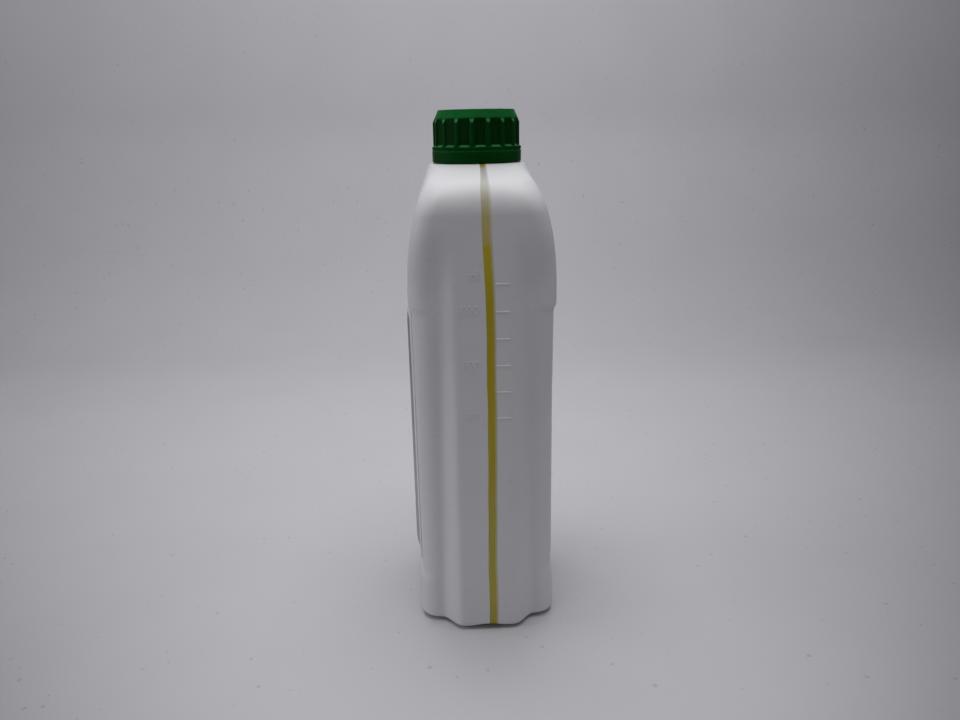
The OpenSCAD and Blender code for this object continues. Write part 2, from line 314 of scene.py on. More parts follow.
print("half depth at 100 mm:", round(half_depth(100), 2), "crown", round(crown_at(100), 2))

# %% One ring of the body
FRONT_STEPS, FLANK_STEPS, CORNER_STEPS, WIDE_STEPS = 26, 16, 14, 30
LEAST_ROUND = 3


def half_ring(a, b, r, step, swell):
    """Half of a rounded rectangle, from the middle of one narrow side round to the other."""
    low = a - step
    cx, cy = low - r, b - r
    flat = min(SPINE_HALF, SPINE_SHARE * cy)
    points = [(low, y) for y in np.linspace(-cy, -flat, FLANK_STEPS, endpoint=False)]
    points += [(low, y) for y in np.linspace(-flat, flat, FRONT_STEPS, endpoint=False)]
    points += [(low, y) for y in np.linspace(flat, cy, FLANK_STEPS, endpoint=False)]
    points += [(cx + r * math.cos(t), cy + r * math.sin(t))
               for t in np.linspace(0, math.pi / 2, CORNER_STEPS, endpoint=False)]
    points += [(x, b + swell * math.cos(math.pi / 2 * x / cx) ** 2)
               for x in np.linspace(cx, -cx, WIDE_STEPS, endpoint=False)]
    points += [(r * math.cos(t) - cx, cy + r * math.sin(t))
               for t in np.linspace(math.pi / 2, math.pi, CORNER_STEPS, endpoint=False)]
    return np.array(points)


def arch_rise(y):
    """1 at the middle of a narrow side, 0 from the ends of its shallow arch on."""
    return np.where(np.abs(y) < ARCH_HALF, np.cos(math.pi / 2 * y / ARCH_HALF) ** 2, 0)


def ring(z, inset=0.0, lift=0.0, arch=0.0):
    """The body's outline at height z, set in by the wall, as points in millimetres."""
    a = min(half_width(z) - inset, half_width(z + lift)) - foot_inset(z - lift)
    b = half_depth(z) - inset - foot_inset(z - lift)
    step, flank = spine_at(z), flank_at(z)
    half = half_ring(a, b, max(CORNER_ROUND - inset, LEAST_ROUND), step, crown_at(z))
    p = np.concatenate([half, -half])
    beside = np.abs(p[:, 1])
    hollow = 1 - softer((beside - SPINE_HALF + FLANK_SOFT) / (flank + FLANK_SOFT))
    share = np.where(beside < SPINE_HALF + flank, hollow, 0)
    p[:, 0] += np.sign(p[:, 0]) * step * share
    t = np.arctan2(p[:, 1] / b, p[:, 0] / a)
    p += (np.stack([a * np.cos(t), b * np.sin(t)], 1) - p) * dome(z) ** OVAL_POWER
    return np.column_stack([p, z + arch * arch_rise(p[:, 1])])


print("points round the body:", len(ring(50)))

# %% [markdown]
# ## The bottle in one skin
#
# The skin starts under the foot, where the base is pushed up, and comes down to the ring that the
# bottle stands on. The outer edge just outside that ring clears the floor by a millimetre, and by
# more where it arches at the middle of each narrow side. From there the skin climbs the outside to
# the shoulder, goes up the neck, turns over the mouth and comes back down the inside, so the wall
# has a real thickness.

# %% Stations and rings
NECK_BORE = 15.5
NECK_R = 17.1
BEAD_R = NECK_R + 1.7
band_low = box_mm("tamper_band")[0]
cap_low, cap_high = box_mm("screw_cap")
CAP_Z = cap_low[2]
BEAD_Z = CAP_Z - 0.7
BEAD_H = 1.5
THREAD_Z = BEAD_Z + BEAD_H + 2.4
THREAD_PITCH = 4.2
THREAD_DEPTH = 1.2
THREAD_TURNS = 1.5
THREAD_GAP = 0.25
TURN_STEPS = 72
FADE_STEPS = 9       # steps over which the ridge fades in and out


def base_ring(z, width, arch=0.0):
    """The foot's ring, shrunk towards the middle of the base."""
    outer = ring(0)
    a, b = half_width(0) - FOOT_ROUND, half_depth(0) - FOOT_ROUND
    return np.column_stack([outer[:, 0] * (a - width) / a, outer[:, 1] * (b - width) / b,
                            z + arch * arch_rise(outer[:, 1])])


def round_ring(z, radius):
    """A circle whose points stand in the directions of the shoulder's last ring."""
    top = ring(SHOULDER_H)[:, :2]
    k = radius / np.linalg.norm(top, axis=1)
    return np.column_stack([top * k[:, None], np.full(len(top), z)])


def heights(low, high, pitch):
    """Even heights from low to high, about a pitch apart."""
    return list(np.linspace(low, high, max(2, round((high - low) / pitch) + 1)))


outer_zs = ([FOOT_ROUND * (1 - math.cos(t)) for t in np.linspace(0, math.pi / 2, 9)]
            + heights(FOOT_ROUND + 1.5, BAND_H - 1, 2.6) + heights(BAND_H, PANEL_Z, 0.75)
            + heights(PANEL_Z + 2, PANEL_TOP - 2, 3) + heights(PANEL_TOP, BULGE_Z, 0.5)
            + heights(BULGE_Z + 1, ROUND_Z - 1, 1.6) + heights(ROUND_Z, SLOPE_Z - 0.6, 0.7)
            + heights(SLOPE_Z, SHOULDER_H - LIP, 0.55))
inner_zs = ([BOTTOM_WALL + FOOT_ROUND * (1 - math.cos(t)) for t in np.linspace(0, math.pi / 2, 5)]
            + heights(9, PANEL_TOP, 6) + heights(BULGE_Z, ROUND_Z, 4)
            + [ROUND_Z + SHOULDER_ROUND * math.sin(math.radians(t)) for t in (10, 20, 30, 42)]
            + heights(SLOPE_Z - PLATE_T, SHOULDER_H - PLATE_T - 0.1, 2.5))
print(len(outer_zs), "rings outside,", len(inner_zs), "inside")


# %% Skin
def bottle_skin():
    """The whole wall in one skin, from under the foot over the mouth to the inside of the base."""
    foot = ((0, 6, 0), (0, 3, 0), (0, 1.1, 0), (0.12, 0.75, 0), (EDGE_LIFT - 0.1, 0.5, ARCH_H),
            (EDGE_LIFT + 0.35, 0.55, ARCH_H), (EDGE_LIFT + 0.35, 0.3, ARCH_H),
            (EDGE_LIFT + 0.1, 0.1, ARCH_H))
    rings = [base_ring(PUSH_UP, RIM_W + 14), base_ring(PUSH_UP, RIM_W + 4)]
    rings += [base_ring(PUSH_UP * (1 - math.cos(t)) / 2, RIM_W + 4 * t / math.pi)
              for t in np.linspace(math.pi * 0.85, 0, 7)]
    rings += [base_ring(z, width, arch) for z, width, arch in foot]
    for z in outer_zs:
        low = max(1 - z / FOOT_ROUND, 0)
        rings.append(ring(z, arch=ARCH_H * low) + [0, 0, EDGE_LIFT * low])
    edge, corner = ring(SHOULDER_H - LIP), ring(SHOULDER_H)
    flat = round_ring(SHOULDER_H, SHOULDER_R - 1.3 * LIP)
    rings += [edge * (1 - t) ** 2 + corner * 2 * t * (1 - t) + flat * t ** 2
              for t in np.linspace(0, 1, 9)[1:]]
    rings.append(round_ring(SHOULDER_H, NECK_R + 0.8))
    neck = [(NECK_R + 0.2, SHOULDER_H + 0.2), (NECK_R, SHOULDER_H + 0.8), (NECK_R, BEAD_Z),
            (BEAD_R - 0.1, BEAD_Z), (BEAD_R, BEAD_Z + 0.1), (BEAD_R, BEAD_Z + 0.6),
            (NECK_R, BEAD_Z + BEAD_H), (NECK_R, MOUTH_Z - 0.5),
            (NECK_R - 0.15, MOUTH_Z - 0.15), (NECK_R - 0.5, MOUTH_Z), (NECK_BORE + 0.4, MOUTH_Z),
            (NECK_BORE, MOUTH_Z - 0.4), (NECK_BORE, SHOULDER_H - PLATE_T)]
    rings += [round_ring(z, r) for r, z in neck]
    for z in reversed(inner_zs):
        rings.append(ring(z, WALL, PLATE_T if z > BULGE_Z else BOTTOM_WALL))
    rings.append(base_ring(PUSH_UP + BOTTOM_WALL, RIM_W + 6))
    return join_rings(rings)


def helix(radius, depth, start_z):
    """A thread's ridge: outward for a neck, inward for a cap."""
    steps = int(TURN_STEPS * THREAD_TURNS)
    sink = -0.4 * math.copysign(1, depth)
    rings = []
    for k in range(steps + 1):
        angle = -math.pi / 2 + 2 * math.pi * THREAD_TURNS * k / steps
        z = start_z + THREAD_PITCH * THREAD_TURNS * k / steps
        crest = radius + depth * clamp01(0.1 + min(k, steps - k) / FADE_STEPS)
        root, foot, rim = radius + sink, radius + 0.15 * depth, crest - 0.1 * depth
        section = [(root, -1.05), (foot, -1.0), (rim, -0.6), (crest, -0.4),
                   (crest, 0.4), (rim, 0.6), (foot, 1.0), (root, 1.05)]
        rings.append([(r * math.cos(angle), r * math.sin(angle), z + up) for r, up in section])
    return join_rings(rings)


bottle = add_piece("blown_bottle", [bottle_skin(), helix(NECK_R, THREAD_DEPTH, THREAD_Z)],
                   "bottle_body", replaces=["bottle"])

# %% [markdown]
# ## The scale on the narrow side
#
# The mould has shallow cuts for the scale, so the marks stand a quarter of a millimetre proud with
# soft edges, in the bottle's own plastic. Each mark is a low pillow whose rim is sunk in the wall.
# The plain numbers on the other side of the strip stand out the same way.

# %% Marks
SCALE_Z = 111.6
SCALE_PITCH = 12.45
MARK_COUNT = 6
MARK_LENGTH = 7.0
MARK_WIDTH = 1.1
MARK_Y = 5.0
MARK_OUT = 0.26
MARK_SINK = 0.06


def pillow(y0, z0, length, width, out):
    """A low raised bar on the spine's flat face."""
    rows, columns = 8, 30
    rings = []
    for v in np.linspace(-1, 1, rows + 1):
        line = []
        for u in np.linspace(-1, 1, columns + 1):
            edge = (1 - abs(v) ** 3) * (1 - abs(u) ** 14)
            line.append((BODY_W / 2 - MARK_SINK + (out + MARK_SINK) * edge,
                         y0 + length * (u + 1) / 2, z0 + v * width / 2))
        rings.append(line)
    points = np.array(rings).reshape(-1, 3)
    n = columns + 1
    faces = [(j * n + i, j * n + i + 1, (j + 1) * n + i + 1, (j + 1) * n + i)
             for j in range(rows) for i in range(columns)]
    return points, faces


marks = add_piece("scale_marks", [pillow(MARK_Y, SCALE_Z + SCALE_PITCH * k, MARK_LENGTH, MARK_WIDTH, MARK_OUT)
                                  for k in range(MARK_COUNT)], "bottle_body")

# %% Numbers
NUMBER_END_Y = -2.3
NUMBER_H = 4.4
NUMBER_OUT = 0.34
NUMBER_SQUEEZE = 0.88
LETTER_H = 0.73      # the letter l beside the font's size, as "ml" has no digit to measure
NUMBERS = (("ml", 177.9), ("1000", 162.4), ("800", 137.2), ("600", 112.8))     # text, height


def raised_number(text, z):
    """Plain raised digits, right-aligned beside the strip and centred on height z."""
    curve = bpy.data.curves.new("number_" + text, "FONT")
    curve.body = text
    curve.align_x = "RIGHT"
    curve.align_y = "CENTER"
    curve.extrude = 0.03
    curve.bevel_depth = 0.02
    curve.bevel_resolution = 2
    curve.resolution_u = 6
    holder = bpy.data.objects.new("holder", curve)
    bpy.context.scene.collection.objects.link(holder)
    mesh = bpy.data.meshes.new_from_object(holder.evaluated_get(bpy.context.evaluated_depsgraph_get()))
    bpy.data.objects.remove(holder)
    co = np.array([v.co for v in mesh.vertices])
    size = NUMBER_H / (co[:, 1].max() - co[:, 1].min()) if text != "ml" else NUMBER_H / LETTER_H
    placed = np.column_stack([
        BODY_W / 2 + NUMBER_OUT * (co[:, 2] - co[:, 2].max() * 0.5) / co[:, 2].max(),
        NUMBER_END_Y + (co[:, 0] - co[:, 0].max()) * size * NUMBER_SQUEEZE,
        z + (co[:, 1] - (co[:, 1].max() + co[:, 1].min()) / 2) * size])
    faces = [tuple(p.vertices) for p in mesh.polygons]
    return placed, faces


numbers = add_piece("scale_numbers", [raised_number(digits, z) for digits, z in NUMBERS],
                    "bottle_body", sharp=60)

# %% [markdown]
# ## The screw cap
#
# The cap is moulded in green plastic. Its grip zone has half-round ribs, and between them the wall
# steps back, with a floor that slopes out onto a ledge. A row of small teeth runs round the ledge.
# A cone leads to the flat top, and its slope also cuts the ribs' upper ends.
#
# The cap is turned like the neck, but the radius of each ring also depends on the angle.

# %% Sizes of the cap
CAP_TOP_Z = cap_high[2]
CAP_R = 20.4
GROOVE_R = CAP_R - 0.9
RIBS = 17
RIB_TURN = math.radians(-7.7)
RIB_R = 1.15
BAND_R = cap_high[0]
LEDGE_TOP = CAP_Z + 1.6
TOP_R = 18.0
CONE_Z = CAP_TOP_Z - 5.6        # where the cone starts to cut the ribs
CONE_TOP = CAP_TOP_Z - 0.5
CONE_FOOT = CONE_TOP - (CONE_TOP - CONE_Z) * (GROOVE_R - TOP_R) / (CAP_R - TOP_R)
ROOF_Z = CAP_TOP_Z - 1.6
ROOF_R = TOP_R - 0.6
SKIRT_R = NECK_R + THREAD_DEPTH + THREAD_GAP
LEDGE_BORE = BEAD_R + 0.5
TEETH = RIBS * 6
TOOTH_DEPTH = 0.38


def rib_profile(angles):
    """How far out the ribs reach: bars with a half-round back."""
    pitch = 2 * math.pi / RIBS
    off = (angles - RIB_TURN + pitch / 2) % pitch - pitch / 2
    centre = CAP_R - RIB_R
    inside = RIB_R ** 2 - (centre * np.sin(off)) ** 2
    return np.where(inside > 0, centre * np.cos(off) + np.sqrt(np.maximum(inside, 0)), 0)


def cone_r(z):
    """The cone round the top, which also cuts the ribs' upper ends."""
    return CAP_R + (TOP_R - CAP_R) * (z - CONE_Z) / (CONE_TOP - CONE_Z)


def cap_radius(r, z, angles):
    """Radius of the cap's outside: the turned profile with ribs, sloping floors and teeth."""
    radii = np.full(len(angles), float(r))
    if z >= LEDGE_TOP - 0.4:
        radii = np.maximum(radii, np.minimum(rib_profile(angles), cone_r(z)))
    if CAP_Z + 0.45 < z < LEDGE_TOP - 0.3:
        radii = radii - TOOTH_DEPTH * (0.5 - 0.5 * np.cos(TEETH * (angles - RIB_TURN)))
    return radii


print("ribs", RIBS, "teeth", TEETH)

# %% Cap
CAP_POINTS = RIBS * 36


def cap_skin():
    """The cap from the middle of its roof down the inside, round the ledge and up to its top."""
    lining = [(0.01, ROOF_Z), (10, ROOF_Z), (ROOF_R, ROOF_Z), (SKIRT_R, CONE_Z - 0.4),
              (SKIRT_R, LEDGE_TOP + 0.2), (LEDGE_BORE, LEDGE_TOP - 0.8), (LEDGE_BORE, CAP_Z + 0.15),
              (LEDGE_BORE + 0.15, CAP_Z)]
    ledge = [(BAND_R - 0.2, CAP_Z), (BAND_R, CAP_Z + 0.15), (BAND_R, CAP_Z + 0.3),
             (BAND_R - 0.1, CAP_Z + 0.4), (BAND_R, CAP_Z + 0.5), (BAND_R, LEDGE_TOP - 0.35),
             (BAND_R - 0.1, LEDGE_TOP - 0.25), (BAND_R - 0.35, LEDGE_TOP - 0.1)]
    floor = [(GROOVE_R + (BAND_R - 0.4 - GROOVE_R) * (1 - math.sin(t)), LEDGE_TOP + 1.0 * (1 - math.cos(t)))
             for t in np.linspace(0.1, math.pi / 2, 7)]
    wall_zs = heights(LEDGE_TOP + 1.8, CONE_Z - 0.6, 1.2) + heights(CONE_Z - 0.3, CONE_FOOT - 0.3, 0.3)
    wall = [(GROOVE_R, z) for z in wall_zs]
    cone = [(cone_r(z), z) for z in heights(CONE_FOOT, CAP_TOP_Z - 0.9, 0.3)]
    top = [(TOP_R + 0.03, CAP_TOP_Z - 0.45), (TOP_R - 0.08, CAP_TOP_Z - 0.2),
           (TOP_R - 0.3, CAP_TOP_Z - 0.05), (TOP_R - 0.6, CAP_TOP_Z), (TOP_R - 2, CAP_TOP_Z),
           (8, CAP_TOP_Z), (0.01, CAP_TOP_Z)]
    rings = turned(lining, CAP_POINTS) + turned(ledge + floor + wall + cone + top, CAP_POINTS, cap_radius)
    return join_rings(rings)


cap = add_piece("ribbed_cap", [cap_skin(), helix(SKIRT_R, -THREAD_DEPTH, THREAD_Z + THREAD_PITCH / 2)],
                "cap", replaces=["screw_cap"], sharp=50)

# %% [markdown]
# ## The tamper band
#
# The band is moulded with the cap and hangs from it by thin bridges. A lip inside catches under the
# neck's bead, so the bridges tear at the first turn and the band stays behind. Fine lines run round
# it, where the mould's rings meet.

# %% Band
BAND_Z = band_low[2]
BAND_TOP = CAP_Z - 0.12
BRIDGES = 9
BRIDGE_AT = BAND_R - 0.9        # distance of the bridges from the axis
LINES = (1.3, 2.6, 3.9)
LINE_DEPTH = 0.14
LINE_HALF = 0.16


def band_skin():
    """A closed ring section turned round the neck: outside with its lines, then the catch inside."""
    bore = BEAD_R + 0.4
    outside = [(BAND_R - 0.5, BAND_Z), (BAND_R - 0.12, BAND_Z + 0.55), (BAND_R, BAND_Z + 0.8)]
    for up in LINES:
        z = BAND_Z + up
        outside += [(BAND_R, z - LINE_HALF), (BAND_R - LINE_DEPTH, z - 0.03),
                    (BAND_R - LINE_DEPTH, z + 0.03), (BAND_R, z + LINE_HALF)]
    outside += [(BAND_R, BAND_TOP - 0.45), (BAND_R - 0.1, BAND_TOP - 0.15), (BAND_R - 0.3, BAND_TOP)]
    catch = [(bore, BAND_TOP), (bore, BEAD_Z - 0.4), (NECK_R + 0.5, BEAD_Z - 0.6),
             (NECK_R + 0.5, BEAD_Z - 1.2), (bore, BEAD_Z - 2.2), (bore, BAND_Z), (BAND_R - 0.5, BAND_Z)]
    return join_rings(turned(outside + catch, 288), False, False)


def bridge(index):
    """A thin waisted pin from the band's top to the cap's underside."""
    angle = 2 * math.pi * index / BRIDGES
    x, y = BRIDGE_AT * math.cos(angle), BRIDGE_AT * math.sin(angle)
    rings = []
    for z, r in ((BAND_TOP - 0.2, 0.4), (BAND_TOP + 0.04, 0.3), (CAP_Z - 0.04, 0.28), (CAP_Z, 0.34)):
        rings.append([(x + r * math.cos(t), y + r * math.sin(t), z)
                      for t in np.linspace(0, 2 * math.pi, 12, endpoint=False)])
    return join_rings(rings)


band = add_piece("lined_band", [band_skin()] + [bridge(k) for k in range(BRIDGES)],
                 "bottle_body", replaces=["tamper_band"], sharp=40)

# %% [markdown]
# ## The labels
#
# Each broad side carries a printed film in a sunken panel. It follows the swell of the panel and
# has round corners. The print is left as plain fields of colour.

# %% Label sheet
label_low, label_high = box_mm("front_label")
LABEL_W = label_high[0] - label_low[0]
LABEL_Z, LABEL_H = label_low[2], label_high[2] - label_low[2]
LABEL_ROUND = 8
LABEL_GAP, LABEL_T = 0.12, 0.25


def label_sheet(side):
    """A thin sheet over the panel on the side +1 or -1, with rounded corners."""
    rows = ([LABEL_ROUND * (1 - math.cos(t)) for t in np.linspace(0.12, math.pi / 2, 9)]
            + heights(LABEL_ROUND + 3, LABEL_H - LABEL_ROUND - 3, 4)
            + [LABEL_H - LABEL_ROUND * (1 - math.cos(t)) for t in np.linspace(math.pi / 2, 0.12, 9)])
    columns = 40
    rings = []
    for v in rows:
        corner = max(LABEL_ROUND - v, v - LABEL_H + LABEL_ROUND, 0)
        reach = LABEL_W / 2 - LABEL_ROUND + math.sqrt(LABEL_ROUND ** 2 - corner ** 2)
        z = LABEL_Z + v
        flat = half_width(z) - spine_at(z) - CORNER_ROUND
        xs = np.linspace(-reach, reach, columns + 1)
        ys = half_depth(z) + crown_at(z) * np.cos(math.pi / 2 * xs / flat) ** 2
        back = [(x, side * (y + LABEL_GAP), z) for x, y in zip(xs, ys)]
        front = [(x, side * (y + LABEL_GAP + LABEL_T), z) for x, y in zip(xs, ys)]
        rings.append(back + front[::-1])
    return join_rings(rings)


front = add_piece("front_film", [label_sheet(-1)], "bottle_body",
                  replaces=["front_label"], sharp=50)
back = add_piece("back_film", [label_sheet(1)], "bottle_body",
                 replaces=["back_label"], sharp=50)

# %% [markdown]
# ## Helpers for materials
#
# Each material is one Principled shader. What is the same all over is a number on the shader's own
# socket, and only what changes over the surface comes from nodes, worked out from the piece's own
# coordinates in metres.

# %% Node helpers
def new_material(name, **values):
    """A material and its node tree. Values name the Principled shader's sockets."""
    material = bpy.data.materials.new(name)
    material.use_nodes = True
    shader = material.node_tree.nodes["Principled BSDF"]
    for socket, value in values.items():
        shader.inputs[socket.replace("_", " ")].default_value = value
    return material, material.node_tree


def node(tree, kind, **settings):
    made = tree.nodes.new("ShaderNode" + kind)
    for key, value in settings.items():
        setattr(made, key, value)
    return made


def feed(tree, socket, value):
    """Connects a socket to another, or gives it a plain number."""
    if isinstance(value, bpy.types.NodeSocket):
        tree.links.new(value, socket)
    else:
        socket.default_value = value


def calc(tree, operation, *values):
    made = node(tree, "Math", operation=operation)
    for socket, value in zip(made.inputs, values):
        feed(tree, socket, value)
    return made.outputs[0]


def blend(tree, share, a, b):
    """A colour between a and b, or beyond b where the share is over 1."""
    made = node(tree, "Mix", data_type="RGBA", clamp_factor=False)
    feed(tree, made.inputs["Factor"], share)
    for socket, value in ((made.inputs[6], a), (made.inputs[7], b)):
        feed(tree, socket, (*value, 1) if isinstance(value, tuple) and len(value) == 3 else value)
    return made.outputs[2]


def step(tree, value, low, high):
    """A smooth step from 0 at low to 1 at high."""
    made = node(tree, "MapRange", interpolation_type="SMOOTHSTEP")
    feed(tree, made.inputs[0], value)
    made.inputs[1].default_value, made.inputs[2].default_value = low, high
    return made.outputs[0]


def fall(tree, value, low, high):
    """A smooth step from 1 at low to 0 at high."""
    return calc(tree, "SUBTRACT", 1, step(tree, value, low, high))


def length(tree, a, b):
    """The length of a line that runs a one way and b square to it."""
    return calc(tree, "SQRT", calc(tree, "ADD", calc(tree, "POWER", a, 2), calc(tree, "POWER", b, 2)))


print("helpers:", ", ".join(f.__name__ for f in (new_material, feed, calc, blend, step, fall, length)))


# %% Patterns and relief
def place(tree):
    """The point's X, Y and Z in metres, and the vector itself."""
    vector = node(tree, "TexCoord").outputs["Object"]
    parts = node(tree, "SeparateXYZ")
    tree.links.new(vector, parts.inputs[0])
    return parts.outputs[0], parts.outputs[1], parts.outputs[2], vector


def noise(tree, vector, scale, detail=2.0, roughness=0.5):
    made = node(tree, "TexNoise")
    feed(tree, made.inputs["Vector"], vector)
    made.inputs["Scale"].default_value = scale
    made.inputs["Detail"].default_value = detail
    made.inputs["Roughness"].default_value = roughness
    return made.outputs["Fac"]


def raise_surface(tree, height):
    """Bends the shader's normal by a height in metres."""
    bump = node(tree, "Bump")
    bump.inputs["Strength"].default_value = 1
    bump.inputs["Distance"].default_value = 1
    feed(tree, bump.inputs["Height"], height)
    tree.links.new(bump.outputs[0], tree.nodes["Principled BSDF"].inputs["Normal"])


def by_height(tree, z, stops):
    """A colour that runs through (height in mm, colour) stops."""
    top = stops[-1][0]
    made = node(tree, "ValToRGB")
    feed(tree, made.inputs[0], calc(tree, "DIVIDE", z, top * MM))
    ends = made.color_ramp.elements
    for height, colour in stops[1:-1]:
        ends.new(height / top).color = (*colour, 1)
    ends[0].color, ends[len(ends) - 1].color = (*stops[0][1], 1), (*stops[-1][1], 1)
    return made.outputs[0]


print("patterns:", ", ".join(f.__name__ for f in (place, noise, raise_surface, by_height)))

# %% [markdown]
# ## White polyethylene and its view strip
#
# The wall is white pigmented polyethylene with a satin skin: fine orange peel from the blasted
# mould, slow waves from blowing, and a faint seam where the mould's halves met. The strip is a band
# without pigment, extruded together with the white, so it is in the wall and not on it. Its left
# edge is sharp, its right edge soft, and it wanders a little, as the tube did. Through it the
# liquid shows up to its level, and above that only the empty bottle.
# Painted shade darkens the top of the strip under the cap, the neck just under the tamper band, and the wall
# under the foot's outer edge.

# %% Bottle plastic
WHITE = (0.62, 0.62, 0.64)
LIQUID_TINTS = [(0, (0.34, 0.29, 0.04)), (15, (0.41, 0.34, 0.06)), (60, (0.40, 0.33, 0.048)),
                (87, (0.40, 0.32, 0.022)), (108, (0.40, 0.31, 0.012)), (130, (0.40, 0.30, 0.004)),
                (167, (0.39, 0.30, 0.004)), (185, (0.45, 0.36, 0.015)), (200, (0.46, 0.37, 0.02))]
# Strip colour above the liquid; the stops from 221.4 mm up are painted shade from the cap and tamper band.
EMPTY_AND_SHADED_TINTS = [(185, (0.49, 0.40, 0.10)), (191, (0.49, 0.40, 0.12)), (197, (0.49, 0.41, 0.15)),
               (204, (0.49, 0.43, 0.19)), (210, (0.43, 0.40, 0.29)), (214, (0.42, 0.41, 0.35)),
               (218, (0.40, 0.39, 0.36)), (221.4, (0.32, 0.32, 0.30)), (222.4, (0.30, 0.28, 0.22)),
               (223, (0.22, 0.18, 0.01)), (240, (0.22, 0.18, 0.01))]
UNDER_EDGE = (0.045, 0.038, 0.03)     # painted shade in the gap under the outer edge
# Painted shade under the outer edge beside the strip, tinted olive as painted light through the strip.
STRIP_EDGE_SHADE = (0.13, 0.10, 0.012)
STRIP_Y = 0.0024                      # metres from the middle of the narrow side, near the foot
STRIP_DRIFT = ((0.05, 0.095, 0.0006), (0.165, 0.2, -0.0013))     # from height, to height, aside
STRIP_WANDER = 0.0008
STRIP_LEFT, STRIP_RIGHT, STRIP_SOFT = (-0.0022, -0.0019), (0.0011, 0.0015), (0.0017, 0.0027)
PEEL_H, WAVE_H, SEAM_H = 0.000012, 0.00012, 0.00004              # metres of relief
liquid_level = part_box("antifreeze")[1].z


def strip_mask(tree, x, y, z, vector):
    """1 in the view strip, 0 in the white wall."""
    centre = STRIP_Y
    for low, high, aside in STRIP_DRIFT:
        centre = calc(tree, "MULTIPLY_ADD", step(tree, z, low, high), aside, centre)
    wander = calc(tree, "MULTIPLY_ADD", noise(tree, vector, 45, 1), STRIP_WANDER, -STRIP_WANDER / 2)
    off = calc(tree, "SUBTRACT", calc(tree, "SUBTRACT", y, centre), wander)
    off = calc(tree, "MULTIPLY", off, calc(tree, "MULTIPLY_ADD", step(tree, z, 0.214, 0.223), 0.5, 1))
    left = step(tree, off, *STRIP_LEFT)
    right = calc(tree, "SUBTRACT", 1, calc(tree, "MULTIPLY_ADD", step(tree, off, *STRIP_RIGHT), 0.3,
                 calc(tree, "MULTIPLY", step(tree, off, *STRIP_SOFT), 0.7)))
    return calc(tree, "MULTIPLY", calc(tree, "MULTIPLY", left, right), calc(tree, "GREATER_THAN", x, 0))


def bottle_plastic():
    material, tree = new_material("bottle_plastic", Roughness=0.5, Specular_IOR_Level=0.3)
    x, y, z, vector = place(tree)
    mask = strip_mask(tree, x, y, z, vector)
    white = blend(tree, noise(tree, vector, 60, 3), tuple(c * 0.975 for c in WHITE), WHITE)
    specks = calc(tree, "MULTIPLY", step(tree, noise(tree, vector, 420, 0), 0.80, 0.86), 0.14)
    white = blend(tree, specks, white, (0.2, 0.2, 0.2))
    wet = fall(tree, z, liquid_level - 0.0013, liquid_level + 0.0013)
    strip = blend(tree, wet, by_height(tree, z, EMPTY_AND_SHADED_TINTS), by_height(tree, z, LIQUID_TINTS))
    drawn = node(tree, "Mapping")
    drawn.inputs["Scale"].default_value = (1, 1, 0.03)
    feed(tree, drawn.inputs["Vector"], vector)
    streaks = calc(tree, "MULTIPLY_ADD", noise(tree, drawn.outputs[0], 2200, 1), 0.3, 0.85)
    strip = blend(tree, streaks, (0, 0, 0), strip)
    # Painted shadow: the neck just under the tamper band is painted near black, as the band's shade.
    band_shade = calc(tree, "MULTIPLY", step(tree, z, (SHOULDER_H + 0.1) * MM, (SHOULDER_H + 0.3) * MM),
                      fall(tree, z, (BAND_Z + 1) * MM, (BAND_Z + 1.5) * MM))
    white = blend(tree, calc(tree, "MULTIPLY", band_shade, 0.9), white, (0.01, 0.01, 0.012))
    wall = blend(tree, mask, white, strip)
    # Painted shade: below the foot's outer edge, which arches at the middle of each narrow side, the wall is
    # painted dark.
    along = calc(tree, "MULTIPLY", y, math.pi / (2 * ARCH_HALF * MM))
    arch = calc(tree, "POWER", calc(tree, "COSINE", along), 2)
    arch = calc(tree, "MULTIPLY", arch, calc(tree, "LESS_THAN", calc(tree, "ABSOLUTE", y), ARCH_HALF * MM))
    edge = calc(tree, "MULTIPLY_ADD", arch, ARCH_H * MM, (EDGE_LIFT - 0.05) * MM)
    below = calc(tree, "LESS_THAN", z, edge)
    by_strip = fall(tree, calc(tree, "ABSOLUTE", y), 0.002, 0.012)
    wall = blend(tree, below, wall, blend(tree, by_strip, UNDER_EDGE, STRIP_EDGE_SHADE))
    feed(tree, tree.nodes["Principled BSDF"].inputs["Base Color"], wall)
    peel = calc(tree, "MULTIPLY", noise(tree, vector, 900, 1), PEEL_H)
    waves = calc(tree, "MULTIPLY", noise(tree, vector, 55, 1), WAVE_H)
    seam = calc(tree, "MULTIPLY", fall(tree, calc(tree, "ABSOLUTE", y), 0, 0.0004), SEAM_H)
    raise_surface(tree, calc(tree, "ADD", calc(tree, "ADD", peel, waves), seam))
    return material


plastic = bottle_plastic()
for piece in (bottle, marks, numbers):
    piece.data.materials.append(plastic)
print("liquid level", round(liquid_level, 4))

# %% [markdown]
# ## Green cap plastic
#
# Cap and band are deep green polypropylene, a little glossier than the bottle. The grip's wall has fine
# upright lines from the cutter that made the mould. Light and shade are painted into the colour: painted
# shade darkens the grooves, and lighter copies of the green are painted light on the cone and the rounded
# edges and painted highlight on the ribs' heads and the grooves' floors.

# %% Cap plastic
GREEN = (0.0004, 0.040, 0.004)
PAINTED_LIT_GREEN = (0.005, 0.105, 0.020)     # painted light on the cone and the rounded edges
PAINTED_HIGHLIGHT_GREEN = (0.030, 0.170, 0.052)    # painted highlight on the ribs' heads and the grooves' floors
# Painted shade: share of black painted into the grooves.
GROOVE_SHADE = 0.35
LINES_PER_RIB = 11
LINE_H, GRAIN_H = 0.00004, 0.00001    # metres of relief
CONE_LEAN = (CAP_R - TOP_R) / (CONE_TOP - CONE_Z)


def between(tree, value, low, high, soft=0.0002):
    """1 where the value lies between two edges, in metres."""
    return calc(tree, "MULTIPLY", step(tree, value, low - soft, low + soft),
                fall(tree, value, high - soft, high + soft))


